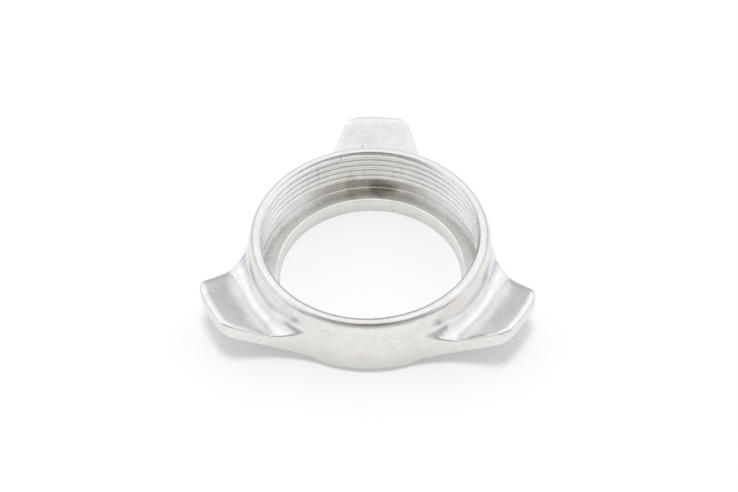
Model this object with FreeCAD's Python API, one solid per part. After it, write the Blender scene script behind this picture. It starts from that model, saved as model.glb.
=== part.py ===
import FreeCAD, Part
import math
import os

from FreeCAD import Vector

# Driving sizes of the ring, in millimetres. The ring stands on its foot at z = 0 with its mouth up.
thread_minor_radius = 37.5
ring_wall = 4.5
ring_height = 25.0
rim_edge_radius = 1.1
foot_chamfer_width = 2.3
foot_chamfer_height = 1.7

# Driving sizes of what is turned out of the ring.
seat_height = 5.9
lip_overhang = 5.1
lip_chamfer = 0.7
foot_edge_chamfer = 0.4
relief_depth = 1.3
relief_height = 5.0
relief_corner = 0.5
mouth_chamfer = 0.8

# Driving sizes of one wing. Its flanks run into the ring's wall in plan, and its tip is rounded.
wing_count = 3
first_wing_angle = 90.0
wing_length = 19.5
tip_half_width = 10.7
tip_corner_radius = 6.2
flank_angle = 22.1
flank_blend_radius = 46.0

# Driving sizes of the wing's section. Its upper face is scooped and rises to the tip.
neck_fillet_radius = 5.1
scoop_angle = 29.4
scoop_floor_height = 12.9
underside_angle = 31.5
underside_wall_height = 2.2
wing_edge_radius = 1.8
underside_chamfer = 0.8

# How deep a wing's flanks and neck run into the ring's wall, and how far its neck stays below the rim's edge.
flank_sink = 0.15
neck_sink = 0.05
neck_clearance = 1.1

# How far a cutter runs past what it cuts, and how deep a wing's root lies inside the ring.
overrun = 5.0

ring_radius = thread_minor_radius + ring_wall
relief_radius = thread_minor_radius + relief_depth
lower_bore_radius = thread_minor_radius - lip_overhang
wing_reach = ring_radius + wing_length


# Points and edges in the two planes that the outlines are drawn in

def plan_point(point):
    return Vector(point[0], point[1], 0)


def far_plan_point(point):
    """The same point on the far side of a wing's middle line."""
    return Vector(point[0], -point[1], 0)


def section_point(point):
    return Vector(point[0], 0, point[1])


def line(start, end, place):
    return Part.LineSegment(place(start), place(end)).toShape()


def arc(centre, radius, start_angle, end_angle, place):
    """An arc between two angles, in radians, the short way round."""
    turns = (start_angle, (start_angle + end_angle) / 2, end_angle)
    points = [place(polar(radius, turn, centre)) for turn in turns]
    return Part.Arc(*points).toShape()


def polar(radius, angle, centre=(0.0, 0.0)):
    return centre[0] + radius * math.cos(angle), centre[1] + radius * math.sin(angle)


def direction(start, end):
    return math.atan2(end[1] - start[1], end[0] - start[0])


def turned(shape, angle):
    copy = shape.copy()
    copy.rotate(Vector(0, 0, 0), Vector(0, 0, 1), angle)
    return copy


def revolved(edges):
    """A full turn of a section, with its seam on the side away from a wing that is drawn along +X."""
    return turned(Part.Face(Part.Wire(edges)).revolve(Vector(0, 0, 0), Vector(0, 0, 1), 360), 180.0)


# The wing in plan, drawn along +X

def flank_line():
    """One flank's outward normal and its distance from the ring's axis."""
    lean = math.radians(flank_angle)
    normal = (math.sin(lean), math.cos(lean))
    corner = (math.sqrt(wing_reach ** 2 - tip_half_width ** 2), tip_half_width)
    return normal, corner[0] * normal[0] + corner[1] * normal[1]


def point_beside_flank(distance, from_axis):
    """The point at a distance from the flank's line, outward positive, and at a radius from the axis."""
    normal, offset = flank_line()
    across = offset + distance
    along = math.sqrt(from_axis ** 2 - across ** 2)
    return across * normal[0] + along * normal[1], across * normal[1] - along * normal[0]


def flank_edges(place):
    """One side of a wing's outline, from its root inside the ring to the end of its tip."""
    normal, offset = flank_line()
    sunk_radius = ring_radius - flank_sink
    blend = point_beside_flank(flank_blend_radius, sunk_radius + flank_blend_radius)
    blend_end = (blend[0] - flank_blend_radius * normal[0], blend[1] - flank_blend_radius * normal[1])
    root_turn = direction((0.0, 0.0), blend)
    blend_start = polar(sunk_radius, root_turn)
    corner = tip_corner_centre()
    corner_start = (corner[0] + tip_corner_radius * normal[0], corner[1] + tip_corner_radius * normal[1])
    return [
        line(polar(ring_radius - overrun, root_turn), blend_start, place),
        arc(blend, flank_blend_radius, direction(blend, (0.0, 0.0)), direction(blend, blend_end), place),
        line(blend_end, corner_start, place),
        arc(corner, tip_corner_radius, direction((0.0, 0.0), normal), tip_end_angle(), place),
    ]


def tip_corner_centre():
    return point_beside_flank(-tip_corner_radius, wing_reach - tip_corner_radius)


def tip_end_angle():
    """Angle, from the wing's middle, at which the tip's face meets its rounded corner."""
    return direction((0.0, 0.0), tip_corner_centre())


def wing_outline():
    """The closed outline of one wing, with its root inside the ring's wall."""
    sides = flank_edges(plan_point) + flank_edges(far_plan_point)
    tip = arc((0.0, 0.0), wing_reach, -tip_end_angle(), tip_end_angle(), plan_point)
    roots = [flank_edges(place)[0].Vertexes[0].Point for place in (plan_point, far_plan_point)]
    root = Part.LineSegment(roots[0], roots[1]).toShape()
    return Part.Wire(Part.__sortEdges__(sides + [tip, root]))


# The wing's section, as heights over the distance from the axis

def neck_centre():
    """Centre of the fillet between the ring's wall and the scooped face, in the section."""
    return ring_radius - neck_sink + neck_fillet_radius, scoop_floor_height + neck_fillet_radius


def scoop_height(radius):
    """Height of the scooped upper face."""
    centre = neck_centre()
    rise = math.radians(scoop_angle)
    tangent_radius = centre[0] + neck_fillet_radius * math.sin(rise)
    if radius < tangent_radius:
        drop = max(neck_fillet_radius ** 2 - (radius - centre[0]) ** 2, 0.0)
        return centre[1] - math.sqrt(drop)
    tangent_height = centre[1] - neck_fillet_radius * math.cos(rise)
    return tangent_height + (radius - tangent_radius) * math.tan(rise)


def underside_height(radius):
    """Height of the underside, which rises from the foot of the ring's wall."""
    return underside_wall_height + (radius - ring_radius) * math.tan(math.radians(underside_angle))


def wing_section():
    """The turned band that a wing is cut from: underside, outer wall, scooped face and neck."""
    centre = neck_centre()
    rise = math.radians(scoop_angle)
    low = polar(neck_fillet_radius, rise - math.pi / 2, centre)
    neck = centre[0] - neck_fillet_radius
    neck_top = ring_height - rim_edge_radius - neck_clearance
    reach = wing_reach + overrun
    inner = ring_radius - 2 * overrun
    root_height = underside_wall_height / 2
    root_radius = ring_radius - root_height / math.tan(math.radians(underside_angle))
    return revolved([
        line((inner, root_height), (root_radius, root_height), section_point),
        line((root_radius, root_height), (reach, underside_height(reach)), section_point),
        line((reach, underside_height(reach)), (reach, scoop_height(reach)), section_point),
        line((reach, scoop_height(reach)), low, section_point),
        arc(centre, neck_fillet_radius, rise - math.pi / 2, -math.pi, section_point),
        line((neck, centre[1]), (neck, neck_top), section_point),
        line((neck, neck_top), (inner, neck_top), section_point),
        line((inner, neck_top), (inner, root_height), section_point),
    ])


# The solid forms with their rounded edges

def edges_at(shape, outline_wire, height_at):
    """The edges of a shape that follow the outline at the height that the section gives there."""
    found = []
    for edge in shape.Edges:
        middle = edge.valueAt((edge.FirstParameter + edge.LastParameter) / 2)
        radius = math.hypot(middle.x, middle.y)
        on_height = abs(middle.z - height_at(radius)) < 0.01
        level = Part.Vertex(middle.x, middle.y, 0)
        if on_height and level.distToShape(outline_wire)[0] < 0.01:
            found.append(edge)
    return found


def wing():
    """One wing along +X, with its upper edges rounded and its lower ones chamfered."""
    wire = wing_outline()
    prism = Part.Face(wire).extrude(Vector(0, 0, ring_height))
    body = prism.common(wing_section()).Solids[0]
    body = body.makeFillet(wing_edge_radius, edges_at(body, wire, scoop_height))
    return body.makeChamfer(underside_chamfer, edges_at(body, wire, underside_height))


def ring():
    """The ring's solid blank, with its rim rounded and the foot of its wall chamfered."""
    foot_radius = ring_radius - foot_chamfer_width
    rim = (ring_radius - rim_edge_radius, ring_height - rim_edge_radius)
    return revolved([
        line((0.0, 0.0), (foot_radius, 0.0), section_point),
        line((foot_radius, 0.0), (ring_radius, foot_chamfer_height), section_point),
        line((ring_radius, foot_chamfer_height), (ring_radius, rim[1]), section_point),
        arc(rim, rim_edge_radius, 0.0, math.pi / 2, section_point),
        line((rim[0], ring_height), (0.0, ring_height), section_point),
        line((0.0, ring_height), (0.0, 0.0), section_point),
    ])


# What is turned out of the middle

def bore_profile():
    """Corners of the way through, from the foot up: lower bore, seat, relief, threaded stretch and mouth."""
    relief_top = seat_height + relief_height
    mouth_radius = thread_minor_radius + mouth_chamfer
    return [
        (lower_bore_radius + foot_edge_chamfer, 0.0),
        (lower_bore_radius, foot_edge_chamfer),
        (lower_bore_radius, seat_height - lip_chamfer),
        (lower_bore_radius + lip_chamfer, seat_height),
        (relief_radius - relief_corner, seat_height),
        (relief_radius, seat_height + relief_corner),
        (relief_radius, relief_top),
        (thread_minor_radius, relief_top),
        (thread_minor_radius, ring_height - mouth_chamfer),
        (mouth_radius, ring_height),
    ]


def bore_cutter():
    """The way through as a solid, run on past the foot and the mouth."""
    profile = bore_profile()
    below = (profile[0][0], -overrun)
    above = (profile[-1][0], ring_height + overrun)
    corners = [(0.0, -overrun), below] + profile + [above, (0.0, ring_height + overrun)]
    ends = corners[1:] + corners[:1]
    return revolved([line(start, end, section_point) for start, end in zip(corners, ends)])


def lock_nut():
    one_wing = wing()
    pitch = 360.0 / wing_count
    wings = [turned(one_wing, first_wing_angle + index * pitch) for index in range(wing_count)]
    return ring().fuse(wings).cut(bore_cutter()).removeSplitter().Solids[0]


os.makedirs("parts", exist_ok=True)
lock_nut().exportStep("parts/lock_nut.step")
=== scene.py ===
import logging
import math
from dataclasses import dataclass, field
from enum import Enum
from typing import Any

import bpy
import numpy as np
from mathutils import Matrix, Vector


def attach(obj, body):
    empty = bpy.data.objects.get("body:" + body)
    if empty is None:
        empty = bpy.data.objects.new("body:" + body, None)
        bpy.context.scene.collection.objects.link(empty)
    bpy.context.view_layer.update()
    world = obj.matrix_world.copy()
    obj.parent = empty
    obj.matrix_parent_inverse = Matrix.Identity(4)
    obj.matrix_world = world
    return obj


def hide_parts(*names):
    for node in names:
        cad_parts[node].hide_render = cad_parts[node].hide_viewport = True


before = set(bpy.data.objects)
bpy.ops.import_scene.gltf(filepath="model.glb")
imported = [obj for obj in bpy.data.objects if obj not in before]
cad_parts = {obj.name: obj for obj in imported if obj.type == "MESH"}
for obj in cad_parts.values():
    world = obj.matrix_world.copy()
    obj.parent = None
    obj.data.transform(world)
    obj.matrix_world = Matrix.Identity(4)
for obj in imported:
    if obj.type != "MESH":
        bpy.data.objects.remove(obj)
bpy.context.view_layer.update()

log = logging.getLogger("lock_nut")

MM = 0.001
MERGE_DISTANCE = 0.001 * MM
NOISE_MIDDLE = 0.5
BODY = "root"
NODE = "lock_nut"

Array = np.ndarray
Piece = bpy.types.Object
Socket = bpy.types.NodeSocket
Pair = tuple[float, float]
Point = tuple[float, float, float]
Colour = tuple[float, float, float, float]


class Label(Enum):
    """Names under which the pieces and the studio are kept in the scene."""

    NUT = "lock_nut_casting"
    THREAD = "lock_nut_thread"
    FLOOR = "floor"
    TENT = "light_tent"
    LAMP = "overhead_lamp"
    CAMERA = "photo_view"


# Shared mesh work

def clear_selection() -> None:
    """Leaves edit mode and deselects everything."""
    if bpy.context.object and bpy.context.object.mode != "OBJECT":
        bpy.ops.object.mode_set(mode="OBJECT")
    bpy.ops.object.select_all(action="DESELECT")


def make_active(piece: Piece) -> None:
    """Selects one object alone and makes it the active one.

    Args:
        piece: The object.
    """
    clear_selection()
    piece.select_set(True)
    bpy.context.view_layer.objects.active = piece


def name_new(label: Label) -> Piece:
    """Names the object that an operator has just added, and its mesh.

    Args:
        label: The name.

    Returns:
        The object.
    """
    piece = bpy.context.object
    piece.name = label.value
    piece.data.name = label.value
    return piece


def apply_modifiers(piece: Piece) -> None:
    """Applies all modifiers of a piece in their order.

    Args:
        piece: The piece.
    """
    make_active(piece)
    for modifier in list(piece.modifiers):
        bpy.ops.object.modifier_apply(modifier=modifier.name)


def place_vertices(mesh: bpy.types.Mesh, points: Array) -> None:
    """Moves every vertex of a mesh to its row of an array of points, in metres."""
    mesh.vertices.foreach_set("co", np.ascontiguousarray(points, dtype=np.float32).ravel())
    mesh.update()


def vertex_places(mesh: bpy.types.Mesh) -> Array:
    """Reads the places of all vertices.

    Args:
        mesh: The mesh.

    Returns:
        One row for each vertex, in metres.
    """
    flat = np.empty(len(mesh.vertices) * 3, dtype=np.float32)
    mesh.vertices.foreach_get("co", flat)
    return flat.reshape(-1, 3).astype(float)


def select_all_in_edit_mode() -> None:
    """Opens the active piece in edit mode with all of it selected."""
    bpy.ops.object.mode_set(mode="EDIT")
    bpy.ops.mesh.select_all(action="SELECT")


def outward_normals(piece: Piece) -> None:
    """Turns the faces of a closed piece outwards.

    Args:
        piece: The piece.
    """
    make_active(piece)
    select_all_in_edit_mode()
    bpy.ops.mesh.normals_make_consistent(inside=False)
    bpy.ops.object.mode_set(mode="OBJECT")


def smooth_by_angle(piece: Piece, degrees: float) -> None:
    """Shades a piece smooth, apart from edges that turn by more than an angle."""
    make_active(piece)
    bpy.ops.object.shade_smooth_by_angle(angle=math.radians(degrees))


def eased(share: Any) -> Any:
    """A share from zero to one, eased at both ends."""
    return share * share * (3 - 2 * share)


# The outline of the wings in plan

@dataclass(frozen=True)
class WingPlan:
    """One wing seen from above, in millimetres, with its middle line at angle zero.

    Its flanks run into the ring's wall as arcs, and its tip has two rounded corners.
    """

    ring_radius: float = 42.0
    reach: float = 61.5
    tip_half_width: float = 10.7
    corner_radius: float = 6.2
    flank_angle: float = math.radians(22.1)
    blend_radius: float = 46.0

    @property
    def flank_normal(self) -> Array:
        """Outward direction of the straight stretch of a flank."""
        return np.array([math.sin(self.flank_angle), math.cos(self.flank_angle)])

    @property
    def flank_offset(self) -> float:
        """Distance of the flank's line from the ring's axis."""
        corner = np.array([math.sqrt(self.reach ** 2 - self.tip_half_width ** 2), self.tip_half_width])
        return float(corner @ self.flank_normal)

    def beside_flank(self, distance: float, from_axis: float) -> Array:
        """A point at a distance outside the flank's line and at a radius from the axis.

        Args:
            distance: Distance from the line, outward positive.
            from_axis: Distance from the ring's axis.

        Returns:
            The point's two coordinates in plan.
        """
        across = self.flank_offset + distance
        along = math.sqrt(from_axis ** 2 - across ** 2)
        normal = self.flank_normal
        return np.array([across * normal[0] + along * normal[1], across * normal[1] - along * normal[0]])

    @property
    def blend_centre(self) -> Array:
        """Centre of the arc between the flank and the ring's wall."""
        return self.beside_flank(self.blend_radius, self.ring_radius + self.blend_radius)

    @property
    def corner_centre(self) -> Array:
        """Centre of the tip's rounded corner."""
        return self.beside_flank(-self.corner_radius, self.reach - self.corner_radius)

    @property
    def stops(self) -> tuple[float, float, float, float]:
        """Angles from the middle line at which the outline's stretches end.

        Returns:
            The ends of the tip, of its corner, of the flank and of the blend, in radians.
        """
        blend_end = self.blend_centre - self.blend_radius * self.flank_normal
        corner_start = self.corner_centre + self.corner_radius * self.flank_normal
        points = (self.corner_centre, corner_start, blend_end, self.blend_centre)
        return tuple(math.atan2(point[1], point[0]) for point in points)

    def radius_at(self, angle: Array) -> Array:
        """Distance of the outline from the axis.

        Args:
            angle: Angles from the wing's middle line, in radians, of either sign.

        Returns:
            The radii, never below the ring's.
        """
        turn = np.abs(angle)
        ray = np.stack([np.cos(turn), np.sin(turn)], axis=-1)
        along_blend = ray @ self.blend_centre
        power = self.blend_centre @ self.blend_centre - self.blend_radius ** 2
        blend = along_blend - np.sqrt(np.maximum(along_blend ** 2 - power, 0.0))
        flank = self.flank_offset / (ray @ self.flank_normal)
        along_corner = ray @ self.corner_centre
        inside = self.corner_centre @ self.corner_centre - self.corner_radius ** 2
        corner = along_corner + np.sqrt(np.maximum(along_corner ** 2 - inside, 0.0))
        stretches = [turn < stop for stop in self.stops]
        radii = [np.full_like(turn, self.reach), corner, flank, blend]
        return np.select(stretches, radii, self.ring_radius)

    def stand_at(self, angle: float) -> float:
        """How far the outline stands out of the ring's wall at one angle."""
        return float(self.radius_at(np.array([angle]))[0]) - self.ring_radius

    def depth_at(self, radius: Array, angle: Array) -> Array:
        """Distance inside the outline of points between the ring's wall and the outline.

        Args:
            radius: Distances from the axis.
            angle: Angles from the wing's middle line, in radians.

        Returns:
            The distances to the nearest point of the outline, never below zero.
        """
        turn = np.abs(angle)
        point = np.stack([radius * np.cos(turn), radius * np.sin(turn)], axis=-1)
        straight = np.minimum(self.flank_offset - point @ self.flank_normal, self.reach - radius)
        from_corner = point - self.corner_centre
        corner_turn = np.arctan2(from_corner[..., 1], from_corner[..., 0])
        flank_turn = math.atan2(self.flank_normal[1], self.flank_normal[0])
        at_corner = (corner_turn > self.stops[0]) & (corner_turn < flank_turn)
        corner = self.corner_radius - np.hypot(from_corner[..., 0], from_corner[..., 1])
        from_blend = point - self.blend_centre
        past_flank = from_blend @ np.array([self.flank_normal[1], -self.flank_normal[0]]) < 0
        blend = np.hypot(from_blend[..., 0], from_blend[..., 1]) - self.blend_radius
        depth = np.where(at_corner, corner, np.where(past_flank, blend, straight))
        return np.maximum(depth, 0.0)


# The section of the casting

@dataclass(frozen=True)
class WingSection:
    """Heights of a wing's scooped upper face and of its underside, in millimetres.

    The scooped face comes off the ring's wall in a fillet and rises to the tip. Its margins are rolled
    over a little, more so at the tip, and its edges are rounded.
    """

    plan: WingPlan = field(default_factory=WingPlan)
    neck_radius: float = 5.1
    middle_neck_radius: float = 3.8
    middle_turns: Pair = (math.radians(9), math.radians(21))
    scoop_angle: float = math.radians(33.0)
    scoop_radius: float = 50.0
    scoop_height: float = 13.9
    tip_roll_width: float = 3.0
    tip_roll_drop: float = 1.15
    flank_roll_width: float = 2.5
    flank_roll_drop: float = 0.65
    full_roll_stand: float = 11.0
    edge_radius: float = 0.6
    underside_angle: float = math.radians(31.5)
    underside_at_wall: float = 2.2
    underside_edge_radius: float = 1.2

    @staticmethod
    def rounding(depth: Array, radius: float) -> Array:
        """Drop of a rounded edge below the face that it ends, at a depth inside the outline."""
        inside = np.clip(radius - depth, 0.0, radius)
        return radius - np.sqrt(radius ** 2 - inside ** 2)

    @staticmethod
    def roll(depth: Array, width: float, drop: float) -> Array:
        """Drop of a margin that polishing has rolled over, at a depth inside the outline."""
        return drop * np.clip(1 - depth / width, 0.0, 1.0) ** 2

    def scoop(self, radius: Array, angle: Array) -> Array:
        """Height of the scooped face without its edges.

        Args:
            radius: Distances from the axis.
            angle: Angles from the wing's middle line, in radians.

        Returns:
            The heights. The fillet at the neck is tighter in the middle of the wing than at its flanks.
        """
        low, high = self.middle_turns
        share = eased(np.clip((np.abs(angle) - low) / (high - low), 0.0, 1.0))
        fillet = self.middle_neck_radius + share * (self.neck_radius - self.middle_neck_radius)
        slope = math.tan(self.scoop_angle)
        centre = self.plan.ring_radius + fillet
        on_slope = self.scoop_height + (centre - self.scoop_radius) * slope
        middle = on_slope + fillet / math.cos(self.scoop_angle)
        tangent = centre + fillet * math.sin(self.scoop_angle)
        across = np.clip(np.minimum(radius, tangent) - centre, -fillet, fillet)
        hollow = middle - np.sqrt(fillet ** 2 - across ** 2)
        return hollow + np.maximum(radius - tangent, 0.0) * slope

    def top(self, radius: Array, angle: Array, stand: float) -> Array:
        """Height of the finished upper face, with its rolled margins and its edge.

        Args:
            radius: Distances from the axis.
            angle: Angles from the wing's middle line, in radians.
            stand: How far the wing's outline stands out of the wall here. The flank's margin fades
                where it stands out less.

        Returns:
            The heights.
        """
        depth = self.plan.depth_at(radius, angle)
        share = min(stand / self.full_roll_stand, 1.0)
        margins = self.roll(depth, self.flank_roll_width, self.flank_roll_drop * share * share)
        margins = margins + self.roll(self.plan.reach - radius, self.tip_roll_width, self.tip_roll_drop)
        return self.scoop(radius, angle) - margins - self.rounding(depth, self.edge_radius)

    def bottom(self, radius: Array, angle: Array) -> Array:
        """Height of the finished underside.

        Args:
            radius: Distances from the axis.
            angle: Angles from the wing's middle line, in radians.

        Returns:
            The heights.
        """
        slope = math.tan(self.underside_angle)
        plain = self.underside_at_wall + (radius - self.plan.ring_radius) * slope
        return plain + self.rounding(self.plan.depth_at(radius, angle), self.underside_edge_radius)


@dataclass
class Casting:
    """The nut's ring with its three wings, as one closed mesh.

    Sizes are in millimetres. Every column of the mesh is one section through the axis, and every
    section has the same stations: the turned profile first, then the outer side from foot to rim.
    Stations at the hold distance keep the shading of a flat face clear of a rounding beside it.
    """

    section: WingSection = field(default_factory=WingSection)
    wing_angles: tuple[float, ...] = (math.radians(90), math.radians(210), math.radians(330))
    height: float = 25.0
    rim_edge_width: float = 2.4
    rim_edge_height: float = 4.6
    mouth_edge_radius: float = 0.3
    root_radius: float = 38.8
    seat_height: float = 5.9
    relief_corner: float = 0.5
    bore_radius: float = 32.4
    lip_slope: Pair = (0.6, 0.3)
    lip_radius: float = 0.12
    lip_arc: Pair = (63.0, 117.0)
    foot_edge_radius: float = 0.4
    foot_radius: float = 39.7
    foot_chamfer_height: float = 1.7
    foot_corner_radius: float = 1.6
    hold: float = 0.12
    columns: int = 552
    fine_columns: int = 7201
    fine_rows: int = 220
    even_reach: float = 4.0
    rim_steps: int = 13
    corner_steps: int = 4
    lip_steps: int = 5
    wall_stations: int = 8
    seat_stations: int = 4
    face_stations: int = 40
    roll_stations: int = 9
    edge_stations: int = 8
    flank_stations: int = 8
    underside_edge_stations: int = 7
    underside_stations: int = 24
    foot_corner_steps: int = 5
    foot_stations: int = 9
    crease_degrees: float = 40.0

    @staticmethod
    def arc(centre: Pair, radius: float, start: float, turn: float, steps: int) -> list:
        """Points of an arc in the section.

        Args:
            centre: Radius and height of the arc's centre.
            radius: Radius of the arc.
            start: Angle of the first point, in degrees.
            turn: Angle that the arc turns through, in degrees.
            steps: Number of pieces of the arc.

        Returns:
            The points in order, as pairs of radius and height.
        """
        angles = [math.radians(start + turn * step / steps) for step in range(steps + 1)]
        return [(centre[0] + radius * math.cos(a), centre[1] + radius * math.sin(a)) for a in angles]

    def turned_profile(self) -> Array:
        """The turned part of the section, from the rim's outer edge inwards and down to the foot.

        Returns:
            One row of radius and height for each station.
        """
        rim_flat = self.section.plan.ring_radius - self.rim_edge_width
        mouth = (self.root_radius + self.mouth_edge_radius, self.height - self.mouth_edge_radius)
        corner = (self.root_radius - self.relief_corner, self.seat_height + self.relief_corner)
        lip = (self.bore_radius + self.lip_radius, self.seat_height - self.lip_slope[1] - self.lip_radius)
        lip_end = self.bore_radius + self.lip_slope[0]
        foot = (self.bore_radius + self.foot_edge_radius, self.foot_edge_radius)
        hold = self.hold
        walls = np.linspace(mouth[1] - 2 * hold, corner[1] + 2 * hold, self.wall_stations)
        seat = np.linspace(corner[0] - 2 * hold, lip_end + hold, self.seat_stations)
        points = self.rim_edge()
        points += [(rim_flat - hold, self.height), (mouth[0] + hold, self.height)]
        points += self.arc(mouth, self.mouth_edge_radius, 90, 90, self.corner_steps)
        points += [(self.root_radius, height) for height in walls]
        points += self.arc(corner, self.relief_corner, 0, -90, self.corner_steps)
        points += [(radius, self.seat_height) for radius in seat]
        points += [(lip_end, self.seat_height)]
        points += self.arc(lip, self.lip_radius, *self.lip_arc, self.lip_steps)
        points += [(self.bore_radius, lip[1] - hold), (self.bore_radius, foot[1] + hold)]
        points += self.arc(foot, self.foot_edge_radius, 180, 90, self.corner_steps)
        points += [(foot[0] + hold, 0.0), (self.foot_radius - 2 * hold, 0.0)]
        return np.array(points)

    def rim_edge(self) -> list:
        """The rim's outer edge, a quarter of an ellipse that leans the top of the wall in.

        Returns:
            The points from the wall up, as pairs of radius and height.
        """
        width, height = self.rim_edge_width, self.rim_edge_height
        centre = (self.section.plan.ring_radius - width, self.height - height)
        tilts = [math.radians(90 - 90 * step / self.rim_steps) for step in range(self.rim_steps + 1)]
        turns = [math.atan2(width * math.sin(tilt), height * math.cos(tilt)) for tilt in tilts]
        return [(centre[0] + width * math.sin(a), centre[1] + height * math.cos(a)) for a in turns]

    def foot_corner(self) -> list:
        """The chamfer at the foot of the wall, with its upper corner rounded.

        Returns:
            The points from the foot up, as pairs of radius and height.
        """
        ring = self.section.plan.ring_radius
        lean = math.atan2(self.foot_chamfer_height, ring - self.foot_radius)
        tangent = self.foot_corner_radius * math.tan((math.pi / 2 - lean) / 2)
        centre = (ring - self.foot_corner_radius, self.foot_chamfer_height + tangent)
        start = math.degrees(lean) - 90
        corner = self.arc(centre, self.foot_corner_radius, start, -start, self.foot_corner_steps)
        return [(self.foot_radius, 0.0)] + corner

    @staticmethod
    def first_within(depth: Array, width: float) -> int:
        """Number of the first row that is nearer to the outline than a width. Depths fall row by row."""
        return int(np.clip(np.searchsorted(-depth, -width), 0, len(depth) - 1))

    def outer_line(self, angle: float) -> tuple[Array, list[int]]:
        """The outer side of the section at an angle from a wing's middle line, drawn finely.

        Args:
            angle: Angle from the middle line of the nearest wing, in radians.

        Returns:
            The points from the foot's edge to the rim's edge, and the numbers of the points at which
            the features of the wing begin: underside, its edge, flank, upper edge, rolled margin and
            scooped face. The last number is that of the last point.
        """
        ring = self.section.plan.ring_radius
        stand = self.section.plan.stand_at(angle)
        sweep = (1 - np.cos(np.linspace(0, np.pi, self.fine_rows))) / 2
        radii = ring + stand * sweep
        turn = np.full(self.fine_rows, angle)
        depth = self.section.plan.depth_at(radii, turn)
        foot = np.array(self.foot_corner())
        under = np.stack([radii, self.section.bottom(radii, turn)], axis=1)
        over = np.stack([radii, self.section.top(radii, turn, stand)], axis=1)[::-1]
        wall_top = np.array([[ring, self.height - self.rim_edge_height]])
        line = np.concatenate([foot, under, over, wall_top])
        start = len(foot)
        middle = start + self.fine_rows
        end = middle + self.fine_rows - 1
        under_edge = start + self.first_within(depth, self.section.underside_edge_radius)
        margin = end - self.first_within(depth, self.section.edge_radius)
        face = end - self.first_within(depth, self.section.flank_roll_width)
        return line, [start, under_edge, middle - 1, middle, margin, face, len(line) - 1]

    def outer_points(self, angle: float) -> Array:
        """The stations of the outer side at one angle.

        Where a wing stands well out of the wall its features share out the stations, and on the bare
        wall they are even.

        Args:
            angle: Angle from the middle line of the nearest wing, in radians.

        Returns:
            One row of radius and height for each station, from the foot up.
        """
        line, marks = self.outer_line(angle)
        steps = np.hypot(*np.diff(line, axis=0).T)
        travel = np.concatenate([[0.0], np.cumsum(steps)])
        counts = [self.foot_stations, self.underside_stations, self.underside_edge_stations,
                  self.flank_stations, self.edge_stations, self.roll_stations, self.face_stations]
        stops = [0.0] + [travel[mark] for mark in marks]
        stretches = zip(stops[:-1], stops[1:], counts)
        shared = np.concatenate([np.linspace(a, b, count, endpoint=False) for a, b, count in stretches])
        even = np.linspace(0.0, travel[-1], len(shared), endpoint=False)
        share = eased(min(self.section.plan.stand_at(angle) / self.even_reach, 1.0))
        places = even + (shared - even) * share
        return np.stack([np.interp(places, travel, part) for part in line.T], axis=1)

    def column_angles(self) -> Array:
        """Angles of the columns about the axis, closer together where the outline leaves the ring.

        Returns:
            The angles, in radians.
        """
        fine = np.linspace(0.0, 2 * np.pi, self.fine_columns)
        reach = self.section.plan.radius_at(self.from_wing(fine))
        slope = np.gradient(reach, fine)
        travel = np.concatenate([[0.0], np.cumsum(np.hypot(reach, slope)[1:] * np.diff(fine))])
        return np.interp(np.linspace(0.0, travel[-1], self.columns, endpoint=False), travel, fine)

    def from_wing(self, angle: Array) -> Array:
        """The same angles measured from the middle line of the nearest wing."""
        pitch = 2 * np.pi / len(self.wing_angles)
        return (angle - self.wing_angles[0] + pitch / 2) % pitch - pitch / 2

    def spun(self, section: Array) -> Piece:
        """Spins one section about the axis and numbers the stations of its vertices.

        Args:
            section: Radius and height of each station, in metres.

        Returns:
            The turned piece.
        """
        clear_selection()
        bpy.ops.mesh.primitive_circle_add(vertices=len(section), radius=self.root_radius * MM)
        piece = name_new(Label.NUT)
        place_vertices(piece.data, np.insert(section, 1, 0.0, axis=1))
        number = piece.data.attributes.new("station", "INT", "POINT")
        number.data.foreach_set("value", np.arange(len(section), dtype=np.int32))
        select_all_in_edit_mode()
        bpy.ops.mesh.spin(steps=self.columns, angle=2 * math.pi, center=(0, 0, 0), axis=(0, 0, 1))
        bpy.ops.mesh.select_all(action="SELECT")
        bpy.ops.mesh.remove_doubles(threshold=MERGE_DISTANCE)
        bpy.ops.object.mode_set(mode="OBJECT")
        return piece

    def draw_out(self, mesh: bpy.types.Mesh, sections: Array, angles: Array) -> None:
        """Moves every column of the spun mesh to its own angle and section.

        Args:
            mesh: The spun mesh, with its station numbers, which are removed.
            sections: Radius and height of each station of each column, in metres.
            angles: Angles of the columns, in radians.
        """
        places = vertex_places(mesh)
        station = np.empty(len(places), dtype=np.int32)
        mesh.attributes["station"].data.foreach_get("value", station)
        spun = np.arctan2(places[:, 1], places[:, 0]) % (2 * np.pi)
        column = np.rint(spun / (2 * np.pi / self.columns)).astype(int) % self.columns
        radius, height = sections[column, station].T
        turn = angles[column]
        place_vertices(mesh, np.stack([radius * np.cos(turn), radius * np.sin(turn), height], axis=1))
        mesh.attributes.remove(mesh.attributes["station"])

    def build(self) -> Piece:
        """Draws the section, spins it about the axis and draws the wings out of the ring.

        Returns:
            The finished casting.
        """
        angles = self.column_angles()
        turned = self.turned_profile()
        outer = [self.outer_points(float(turn)) for turn in self.from_wing(angles)]
        sections = np.array([np.concatenate([turned, points]) * MM for points in outer])
        piece = self.spun(sections[0])
        self.draw_out(piece.data, sections, angles)
        outward_normals(piece)
        smooth_by_angle(piece, self.crease_degrees)
        return piece


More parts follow.
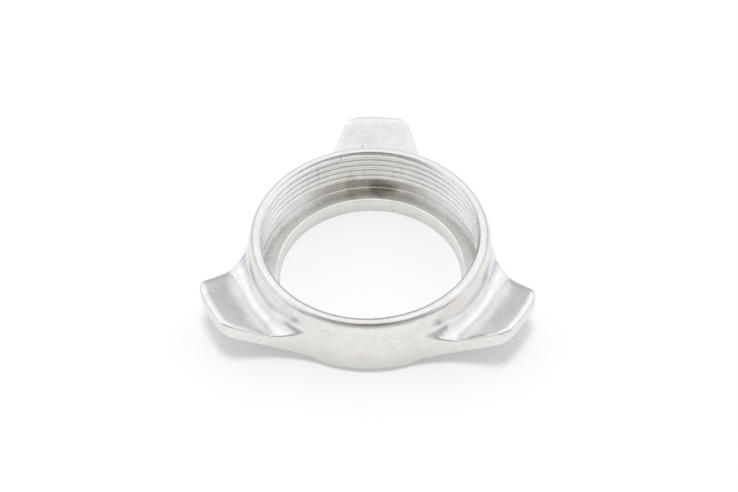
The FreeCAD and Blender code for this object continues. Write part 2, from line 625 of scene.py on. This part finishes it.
@dataclass
class Thread:
    """The thread's ridge, a right-handed helix on the casting's inner wall. Sizes are in millimetres."""

    crest_radius: float = 37.5
    root_radius: float = 38.8
    pitch: float = 2.63
    crest_half_width: float = 0.18
    crest_rounding: float = 0.32
    crest_turn: float = 60.0
    crest_steps: int = 4
    flank_angle: float = math.radians(30)
    bedding: float = 0.25
    crest_height: float = 14.5
    crest_azimuth: float = math.radians(90)
    turns_below: int = 3
    relief_top: float = 10.9
    mouth_height: float = 25.0
    mouth_clearance: float = 0.02
    mouth_chamfer: float = 0.8
    steps_per_turn: int = 180
    crease_degrees: float = 25.0

    def ridge_section(self) -> Array:
        """The ridge's section about the middle of its crest.

        Returns:
            One row of radius and height for each point.
        """
        slope = math.tan(self.flank_angle)
        centre = (self.crest_radius + self.crest_rounding, self.crest_half_width)
        side = Casting.arc(centre, self.crest_rounding, 180, -self.crest_turn, self.crest_steps)
        start = side[-1]
        for radius in (self.root_radius, self.root_radius + self.bedding):
            side.append((radius, start[1] + (radius - start[0]) * slope))
        return np.array(side + [(radius, -height) for radius, height in reversed(side)])

    def screwed(self) -> Piece:
        """Screws the ridge's section up the bore, past both of its ends.

        Returns:
            The ridge before it is cut.
        """
        section = self.ridge_section()
        start_height = self.crest_height - self.turns_below * self.pitch
        clear_selection()
        bpy.ops.mesh.primitive_circle_add(
            vertices=len(section), radius=self.crest_radius * MM, fill_type="NGON"
        )
        piece = name_new(Label.THREAD)
        cos, sin = math.cos(self.crest_azimuth), math.sin(self.crest_azimuth)
        rows = [(radius * cos, radius * sin, start_height + height) for radius, height in section]
        place_vertices(piece.data, np.array(rows) * MM)
        screw = piece.modifiers.new("helix", "SCREW")
        screw.axis = "Z"
        screw.angle = 2 * math.pi
        screw.screw_offset = self.pitch * MM
        screw.iterations = math.ceil((self.mouth_height + self.pitch - start_height) / self.pitch)
        screw.steps = self.steps_per_turn
        screw.render_steps = self.steps_per_turn
        screw.use_merge_vertices = False
        apply_modifiers(piece)
        return piece

    def build(self) -> Piece:
        """Makes the ridge and cuts it off at the relief and at the mouth.

        Returns:
            The finished ridge.
        """
        piece = self.screwed()
        select_all_in_edit_mode()
        bpy.ops.mesh.remove_doubles(threshold=MERGE_DISTANCE)
        bpy.ops.mesh.fill_holes(sides=0)
        self.cut_level(self.relief_top, keep_above=True)
        self.cut_level(self.mouth_height - self.mouth_clearance, keep_above=False)
        bpy.ops.object.mode_set(mode="OBJECT")
        self.chamfer_mouth(piece.data)
        outward_normals(piece)
        smooth_by_angle(piece, self.crease_degrees)
        return piece

    @staticmethod
    def cut_level(height: float, keep_above: bool) -> None:
        """Cuts the mesh in edit mode at a height and closes the cut.

        Args:
            height: Height of the cut, in millimetres.
            keep_above: True to keep what lies above the cut.
        """
        bpy.ops.mesh.select_all(action="SELECT")
        bpy.ops.mesh.bisect(
            plane_co=(0, 0, height * MM), plane_no=(0, 0, 1), use_fill=True,
            clear_inner=keep_above, clear_outer=not keep_above, threshold=MERGE_DISTANCE,
        )

    def chamfer_mouth(self, mesh: bpy.types.Mesh) -> None:
        """Moves what stands inside the mouth's chamfer out onto it.

        Args:
            mesh: The ridge's mesh.
        """
        places = vertex_places(mesh)
        radius = np.hypot(places[:, 0], places[:, 1])
        chamfer = (self.crest_radius - self.mouth_height + self.mouth_chamfer) * MM + places[:, 2]
        places[:, :2] *= (np.maximum(radius, chamfer) / radius)[:, None]
        place_vertices(mesh, places)


# Sums and nodes of the finish

class Value:
    """A number over the surface. Python sums with it add the Math nodes that work them out."""

    def __init__(self, tree: bpy.types.NodeTree, socket: Socket) -> None:
        """Wraps the socket that gives the number."""
        self.tree = tree
        self.socket = socket

    def calculate(self, operation: str, *terms: Any) -> "Value":
        """Adds one Math node.

        Args:
            operation: Name of the Math node's operation.
            terms: Values or numbers for its inputs, in order.

        Returns:
            The result.
        """
        node = self.tree.nodes.new("ShaderNodeMath")
        node.operation = operation
        for slot, term in zip(node.inputs, terms):
            if isinstance(term, Value):
                self.tree.links.new(term.socket, slot)
            else:
                slot.default_value = term
        return Value(self.tree, node.outputs[0])

    def __add__(self, other: Any) -> "Value":
        """Sum."""
        return self.calculate("ADD", self, other)

    def __radd__(self, other: float) -> "Value":
        """Sum with a number on the left."""
        return self.calculate("ADD", other, self)

    def __sub__(self, other: Any) -> "Value":
        """Difference."""
        return self.calculate("SUBTRACT", self, other)

    def __rsub__(self, other: float) -> "Value":
        """Difference with a number on the left."""
        return self.calculate("SUBTRACT", other, self)

    def __mul__(self, other: Any) -> "Value":
        """Product."""
        return self.calculate("MULTIPLY", self, other)

    def __rmul__(self, other: float) -> "Value":
        """Product with a number on the left."""
        return self.calculate("MULTIPLY", other, self)

    def __truediv__(self, other: Any) -> "Value":
        """Quotient."""
        return self.calculate("DIVIDE", self, other)

    def __pow__(self, other: Any) -> "Value":
        """Power."""
        return self.calculate("POWER", self, other)

    def __abs__(self) -> "Value":
        """Size without its sign."""
        return self.calculate("ABSOLUTE", self)

    def larger(self, other: "Value") -> "Value":
        """The larger of two values."""
        return self.calculate("MAXIMUM", self, other)

    def turn_from(self, along: "Value") -> "Value":
        """Angle, in radians, of a direction with this value across and the other along."""
        return self.calculate("ARCTAN2", self, along)

    def between(self, low: float, high: float) -> "Value":
        """Zero at the low end and one at the high end, eased at both.

        Args:
            low: Level at which the result is zero.
            high: Level at which the result is one.

        Returns:
            The eased share.
        """
        node = self.tree.nodes.new("ShaderNodeMapRange")
        node.interpolation_type = "SMOOTHSTEP"
        self.tree.links.new(self.socket, node.inputs["Value"])
        node.inputs["From Min"].default_value = low
        node.inputs["From Max"].default_value = high
        return Value(self.tree, node.outputs["Result"])


@dataclass(frozen=True)
class Mottle:
    """A cloudy noise: its frequency per metre, the number of its finer layers, and their strength."""

    scale: float
    layers: float
    rough: float


@dataclass
class NodeBench:
    """Adds nodes to one material or world."""

    tree: bpy.types.NodeTree

    def add(self, kind: str, settings: dict[str, Any] | None = None, **sockets: Any) -> bpy.types.Node:
        """Adds one node.

        Args:
            kind: The node's type.
            settings: Its own settings, set before its sockets.
            sockets: Values or links of its inputs, with underscores for the spaces in their names.

        Returns:
            The node.
        """
        node = self.tree.nodes.new(kind)
        for name, setting in (settings or {}).items():
            setattr(node, name, setting)
        for name, value in sockets.items():
            slot = self.slot(node, name.replace("_", " "))
            if isinstance(value, Value):
                self.tree.links.new(value.socket, slot)
            elif isinstance(value, Socket):
                self.tree.links.new(value, slot)
            else:
                slot.default_value = value
        return node

    @staticmethod
    def slot(node: bpy.types.Node, name: str) -> Socket:
        """The input of a node that is in use and has the name."""
        return next(slot for slot in node.inputs if slot.name == name and slot.enabled)

    def value(self, socket: Socket) -> Value:
        """Wraps a socket for sums."""
        return Value(self.tree, socket)

    def parts(self, vector: Socket) -> tuple[Value, Value, Value]:
        """The three coordinates of a vector."""
        node = self.add("ShaderNodeSeparateXYZ", Vector=vector)
        return tuple(self.value(socket) for socket in node.outputs)

    def joined(self, across: Any, along: Any, up: Any) -> Socket:
        """A vector of three coordinates."""
        return self.add("ShaderNodeCombineXYZ", X=across, Y=along, Z=up).outputs[0]

    def noise(self, place: Socket, size: Mottle) -> Value:
        """Reads a cloudy noise, from about 0.3 to 0.7, at a place."""
        settings = {"Scale": size.scale, "Detail": size.layers, "Roughness": size.rough}
        return self.value(self.add("ShaderNodeTexNoise", Vector=place, **settings).outputs["Fac"])

    def blend(self, share: Value, low: Any, high: Any) -> Socket:
        """Mixes two colours.

        Args:
            share: Share of the second colour.
            low: The first colour, or its socket.
            high: The second colour, or its socket.

        Returns:
            The mixed colour's socket.
        """
        node = self.add("ShaderNodeMix", {"data_type": "RGBA"}, Factor=share, A=low, B=high)
        return next(output for output in node.outputs if output.enabled)

    def mix_shaders(self, share: Any, first: bpy.types.Node, second: bpy.types.Node) -> Socket:
        """Mixes two shaders.

        Args:
            share: Share of the second shader.
            first: Node of the first shader.
            second: Node of the second shader.

        Returns:
            The mixed shader's socket.
        """
        mixed = self.add("ShaderNodeMixShader", Fac=share)
        self.tree.links.new(first.outputs[0], mixed.inputs[1])
        self.tree.links.new(second.outputs[0], mixed.inputs[2])
        return mixed.outputs[0]


def emptied(holder: bpy.types.Material | bpy.types.World) -> NodeBench:
    """Clears the nodes of a new material or world.

    Args:
        holder: The material or world.

    Returns:
        The bench that adds its nodes.
    """
    holder.use_nodes = True
    holder.node_tree.nodes.clear()
    return NodeBench(holder.node_tree)


# The finish

@dataclass(frozen=True)
class ColourPatch:
    """A patch of colour on the steel, a stain or a painted dark reflection: its middle and its size in
    millimetres, and its strength.
    """

    middle: Point
    size: Point
    strength: float
    colour: Colour = (0.66, 0.53, 0.40, 1.0)


@dataclass(frozen=True)
class SatinSteel:
    """Cast stainless steel, satin polished by hand outside and turned on a lathe inside.

    The bands are radii or heights, in metres, between which one surface goes over into the next, or over
    which the painted shade at the foot of the walls fades out. The heights of the relief are in metres too,
    and the gloss values say how far roughness varies.
    """

    name: str = "satin_steel"
    light: Colour = (0.885, 0.878, 0.858, 1.0)
    # The dull, worn tone, which also serves as the painted shade at the foot of the walls.
    worn_and_shaded: Colour = (0.75, 0.742, 0.715, 1.0)
    pit: Colour = (0.25, 0.23, 0.21, 1.0)
    polished: float = 0.205
    turned: float = 0.25
    threaded: float = 0.27
    wall_band: Pair = (0.0389, 0.0391)
    rim_band: Pair = (0.0240, 0.0246)
    rim_edge_band: Pair = (0.0411, 0.0418)
    relief_band: Pair = (0.0104, 0.0112)
    # Heights over which the painted shade at the foot of the bore and of the outer wall fades out.
    inner_foot_shade_band: Pair = (-0.001, 0.0055)
    outer_foot_shade_band: Pair = (-0.001, 0.013)
    lathe_stretch: float = 0.0006
    brush_stretch: Pair = (0.3, 0.0025)
    lathe_grooves: Mottle = Mottle(5200.0, 2.0, 0.6)
    brush_strokes: Mottle = Mottle(3000.0, 3.0, 0.6)
    swelling: Mottle = Mottle(95.0, 2.0, 0.45)
    clouding: Mottle = Mottle(240.0, 4.0, 0.6)
    graining: Mottle = Mottle(2600.0, 2.0, 0.6)
    scuffing: Mottle = Mottle(850.0, 4.0, 0.65)
    worn_band: Pair = (0.38, 0.68)
    worn_share: float = 0.35
    cloud_gloss: float = 0.07
    line_gloss: float = 0.16
    scuff_gloss: float = 0.12
    pit_gloss: float = 0.3
    line_height: float = 0.000015
    turned_line_loss: float = 0.000006
    grain_height: float = 0.0000020
    swell_height: float = 0.00014
    turned_swell_height: float = 0.00006
    scuff_height: float = 0.000070
    pit_depth: float = 0.00002
    pits_per_metre: float = 420.0
    pit_edge: Pair = (0.05, 0.14)
    pit_pick: Pair = (0.86, 0.90)
    spot_fray: float = 1.6
    stains_and_dark_reflection: tuple[ColourPatch, ...] = (
        ColourPatch((29.7, -29.7, 21.6), (7.5, 7.5, 4.2), 0.30, (0.80, 0.66, 0.50, 1.0)),
        ColourPatch((0.0, -42.0, 9.0), (5.0, 8.0, 3.0), 0.15),
        ColourPatch((-8.7, 37.8, 10.5), (3.0, 4.0, 6.5), 0.45),
        ColourPatch((0.0, -40.4, 24.7), (19.0, 3.0, 0.9), 0.14),
        # Painted reflection: a dark patch at the back of the seat and relief, where the steel mirrors the
        # dark lens in the recess. It is no stain.
        ColourPatch((2.6, 37.6, 6.2), (6.5, 4.5, 2.4), 0.75, (0.36, 0.32, 0.27, 1.0)),
        ColourPatch((-20.1, 32.2, 19.0), (0.8, 2.0, 6.5), 0.45, (0.55, 0.55, 0.56, 1.0)),
    )

    def build(self) -> bpy.types.Material:
        """Makes the material.

        Returns:
            The material.
        """
        material = bpy.data.materials.new(self.name)
        bench = emptied(material)
        place = bench.add("ShaderNodeTexCoord").outputs["Object"]
        x, y, z = bench.parts(place)
        radius = (x * x + y * y) ** 0.5
        turn = y.turn_from(x)
        inside = 1 - radius.between(*self.wall_band)
        rim = z.between(*self.rim_band) * (1 - radius.between(*self.rim_edge_band))
        machined = inside.larger(rim)
        threads = inside * z.between(*self.relief_band)

        grooves = bench.noise(bench.joined(radius, turn * self.lathe_stretch, z), self.lathe_grooves)
        brushed = bench.joined(radius * self.brush_stretch[0], turn * self.brush_stretch[1], z)
        strokes = bench.noise(brushed, self.brush_strokes)
        lines = strokes + (grooves - strokes) * machined
        swell = bench.noise(place, self.swelling)
        cloud = bench.noise(place, self.clouding)
        grain = bench.noise(place, self.graining)
        scuffs = bench.noise(place, self.scuffing)
        pits = self.pits(bench, place)

        # Painted shade: the steel is darkened towards the foot of the bore and of the outer wall, as if it
        # mirrored the shaded floor there, and this is added to the worn tone.
        low = inside * (1 - z.between(*self.inner_foot_shade_band)) + (1 - inside) * (1 - z.between(*self.outer_foot_shade_band))
        colour = bench.blend(cloud.between(*self.worn_band) * self.worn_share + low, self.light, self.worn_and_shaded)
        # Stains, and one patch of painted dark reflection at the back of the seat.
        for spot in self.stains_and_dark_reflection:
            colour = bench.blend(self.patch(spot, (x, y, z), cloud), colour, spot.colour)
        colour = bench.blend(pits, colour, self.pit)

        rough = self.polished + machined * (self.turned - self.polished)
        rough = rough + threads * (self.threaded - self.turned)
        rough = rough + (cloud - NOISE_MIDDLE) * self.cloud_gloss + (lines - NOISE_MIDDLE) * self.line_gloss
        rough = rough + (scuffs - NOISE_MIDDLE) * self.scuff_gloss + pits * self.pit_gloss

        cast = swell * self.swell_height + scuffs * self.scuff_height
        relief = lines * (self.line_height - machined * self.turned_line_loss) + grain * self.grain_height
        relief = relief - pits * self.pit_depth + (1 - machined) * cast
        relief = relief + swell * machined * self.turned_swell_height
        bump = bench.add("ShaderNodeBump", Height=relief, Strength=1.0, Distance=1.0).outputs[0]
        steel = {"Base_Color": colour, "Metallic": 1.0, "Roughness": rough, "Normal": bump}
        shader = bench.add("ShaderNodeBsdfPrincipled", **steel)
        bench.add("ShaderNodeOutputMaterial", Surface=shader.outputs[0])
        return material

    def pits(self, bench: NodeBench, place: Socket) -> Value:
        """Small scattered pits of the casting.

        Args:
            bench: Where the nodes are added.
            place: Where the pits are read.

        Returns:
            One inside a pit and zero outside it.
        """
        cells = bench.add("ShaderNodeTexVoronoi", Vector=place, Scale=self.pits_per_metre).outputs
        from_middle = bench.value(cells["Distance"])
        draw = bench.value(bench.add("ShaderNodeSeparateColor", Color=cells["Color"]).outputs["Red"])
        return (1 - from_middle.between(*self.pit_edge)) * draw.between(*self.pit_pick)

    def patch(self, spot: ColourPatch, place: tuple[Value, Value, Value], cloud: Value) -> Value:
        """The share of a patch, a stain or a painted dark reflection, over the surface.

        Args:
            spot: The patch.
            place: The three coordinates of the place.
            cloud: Noise that frays the patch's edge.

        Returns:
            The share of the stain's colour.
        """
        rows = zip(place, spot.middle, spot.size)
        across, along, up = ((part - middle * MM) / (size * MM) for part, middle, size in rows)
        away = across * across + along * along + up * up
        fray = (cloud - NOISE_MIDDLE) * self.spot_fray
        return (1 - (away + fray).between(0.0, 1.0)) * spot.strength


# The studio

@dataclass(frozen=True)
class Floor:
    """A plain pale floor that keeps the nut's shadow.

    A share of it glows, white to the camera and duller in what the steel mirrors.
    """

    size: float = 6.0
    shade: Colour = (0.975, 0.97, 0.97, 1.0)
    ground: Colour = (0.99, 0.99, 1.0, 1.0)
    seen_share: float = 0.30
    mirrored: Colour = (0.66, 0.65, 0.59, 1.0)
    mirrored_share: float = 0.22

    def build(self) -> Piece:
        """Makes the floor under the nut.

        Returns:
            The floor.
        """
        clear_selection()
        bpy.ops.mesh.primitive_plane_add(size=self.size)
        floor = name_new(Label.FLOOR)
        floor.data.materials.append(self.finish())
        return floor

    def finish(self) -> bpy.types.Material:
        """Makes the floor's material.

        Returns:
            The material.
        """
        material = bpy.data.materials.new(Label.FLOOR.value)
        bench = emptied(material)
        rays = bench.add("ShaderNodeLightPath").outputs
        names = ("Is Camera Ray", "Is Glossy Ray", "Is Transmission Ray")
        camera, glossy, through = (bench.value(rays[name]) for name in names)
        share = (camera + through) * self.seen_share + glossy * self.mirrored_share
        matt = bench.add("ShaderNodeBsdfDiffuse", Color=self.shade)
        glow = bench.blend(glossy, self.ground, self.mirrored)
        ground = bench.add("ShaderNodeEmission", Color=glow, Strength=1.0)
        bench.add("ShaderNodeOutputMaterial", Surface=bench.mix_shaders(share, matt, ground))
        return material


@dataclass(frozen=True)
class Room:
    """The white light tent round the nut.

    It is bright overhead and greyer low down, with a soft box behind on either side. In front it is
    dark at its opening, at the posts beside that and at the lens. The bands are parts of a direction of
    length one, between which one level goes over into the next.
    """

    overhead: float = 1.04
    horizon: float = 0.42
    sides: float = 0.70
    lens: float = 0.20
    opening: float = 0.36
    posts: float = 0.44
    softboxes: float = 0.16
    lit_share: float = 0.75
    turn: float = math.radians(3.6)
    rise_band: Pair = (0.02, 0.60)
    side_band: Pair = (0.35, 0.85)
    lens_elevation: float = math.radians(48)
    lens_edge: Pair = (math.cos(math.radians(18)), math.cos(math.radians(7)))
    opening_side: Pair = (0.30, 0.75)
    opening_foot: Pair = (0.28, 0.52)
    opening_top: Pair = (0.74, 0.88)
    post_outer_side: Pair = (0.26, 0.42)
    post_inner_side: Pair = (0.56, 0.76)
    post_top: Pair = (0.30, 0.55)
    softbox_way: Point = (0.42, -0.38, 0.82)
    softbox_edge: Pair = (math.cos(math.radians(23)), math.cos(math.radians(9)))
    upright_guard: float = 1.0001
    cool_fade: float = 0.7
    warm: Colour = (1.0, 0.90, 0.82, 1.0)
    plain: Colour = (0.965, 0.98, 1.0, 1.0)
    cool: Colour = (0.895, 0.935, 1.0, 1.0)
    white: Colour = (1.0, 1.0, 1.0, 1.0)

    def build(self) -> bpy.types.World:
        """Makes the world.

        Returns:
            The world, which is also set in the scene.
        """
        world = bpy.data.worlds.new(Label.TENT.value)
        bench = emptied(world)
        x, y, z = bench.parts(bench.add("ShaderNodeTexCoord").outputs["Generated"])
        ahead = x * math.sin(self.turn) - y * math.cos(self.turn)
        beside = abs(x * math.cos(self.turn) + y * math.sin(self.turn))
        rise = z.between(*self.rise_band)
        side = beside.between(*self.side_band)
        low = self.horizon + side * (self.sides - self.horizon)
        strength = low + rise * (self.overhead - low)

        facing = ahead / (self.upright_guard - z * z) ** 0.5
        post = facing.between(*self.post_outer_side) * (1 - facing.between(*self.post_inner_side))
        post = post * (1 - z.between(*self.post_top))
        opening = facing.between(*self.opening_side) * z.between(*self.opening_foot)
        opening = opening * (1 - z.between(*self.opening_top))
        to_lens = ahead * math.cos(self.lens_elevation) + z * math.sin(self.lens_elevation)
        lens = to_lens.between(*self.lens_edge)
        for share, level in ((post, self.posts), (opening, self.opening), (lens, self.lens)):
            strength = strength + (level - strength) * share

        box_x, box_y, box_z = self.softbox_way
        to_box = beside * box_x + ahead * box_y + z * box_z
        strength = strength + to_box.between(*self.softbox_edge) * self.softboxes
        tint = bench.blend(side * (1 - rise * self.cool_fade), self.plain, self.cool)
        tint = bench.blend(opening.larger(lens), tint, self.warm)

        rays = bench.add("ShaderNodeLightPath").outputs
        glossy = bench.value(rays["Is Glossy Ray"])
        strength = strength * (self.lit_share - glossy * (self.lit_share - 1))
        tent = bench.add("ShaderNodeBackground", Color=tint, Strength=strength)
        backdrop = bench.add("ShaderNodeBackground", Color=self.white, Strength=1.0)
        mixed = bench.mix_shaders(rays["Is Camera Ray"], tent, backdrop)
        bench.add("ShaderNodeOutputWorld", Surface=mixed)
        bpy.context.scene.world = world
        return world


@dataclass(frozen=True)
class SoftLamp:
    """A soft lamp overhead, aimed at the nut. The steel doesn't mirror it, and shows the tent alone."""

    place: Point = (0.05, -0.36, 2.9)
    size: float = 0.65
    power: float = 36.0

    def build(self) -> Piece:
        """Adds the lamp.

        Returns:
            The lamp.
        """
        bpy.ops.object.light_add(type="AREA", location=self.place)
        lamp = bpy.context.object
        lamp.name = Label.LAMP.value
        lamp.rotation_euler = (-Vector(self.place)).to_track_quat("-Z", "Y").to_euler()
        lamp.data.size = self.size
        lamp.data.energy = self.power
        lamp.visible_glossy = False
        return lamp


@dataclass(frozen=True)
class PhotoView:
    """The camera, at the photograph's viewing angle. Angles are in radians and distances in metres."""

    distance: float = 0.63905
    elevation: float = 0.8712
    yaw: float = 0.0005
    pitch: float = 0.018
    roll: float = 0.0232
    turn: float = math.radians(3.5918)
    focal_pixels: float = 1800.0
    frame_width: float = 738.0
    sensor: float = 36.0
    nearest: float = 0.01
    farthest: float = 20.0

    def build(self) -> Piece:
        """Adds the camera.

        Returns:
            The camera.
        """
        bpy.ops.object.camera_add()
        camera = bpy.context.object
        camera.name = Label.CAMERA.value
        camera.data.sensor_width = self.sensor
        camera.data.lens = self.focal_pixels * self.sensor / self.frame_width
        camera.data.clip_start = self.nearest
        camera.data.clip_end = self.farthest
        stand = Vector((0.0, -math.cos(self.elevation), math.sin(self.elevation))) * self.distance
        aim = Matrix.Rotation(math.pi / 2 - self.elevation, 4, "X")
        aim = aim @ Matrix.Rotation(self.yaw, 4, "Y") @ Matrix.Rotation(self.pitch, 4, "X")
        aim = aim @ Matrix.Rotation(-self.roll, 4, "Z")
        camera.matrix_world = Matrix.Rotation(self.turn, 4, "Z") @ Matrix.Translation(stand) @ aim
        bpy.context.scene.camera = camera
        return camera


def dress(piece: Piece, finish: bpy.types.Material) -> None:
    """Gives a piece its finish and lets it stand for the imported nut.

    Args:
        piece: The piece.
        finish: Its material.
    """
    piece.data.materials.clear()
    piece.data.materials.append(finish)
    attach(piece, BODY)
    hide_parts(NODE)
    log.info("%s: %d faces", piece.name, len(piece.data.polygons))


def main() -> None:
    """Builds the nut, its finish and the studio."""
    logging.basicConfig(level=logging.INFO, format="%(name)s %(message)s")
    PhotoView().build()
    finish = SatinSteel().build()
    for part in (Casting(), Thread()):
        dress(part.build(), finish)
    for part in (Floor(), Room(), SoftLamp()):
        log.info("%s: built", part.build().name)
    bpy.context.scene.view_settings.view_transform = "Standard"


if __name__ == "__main__":
    main()
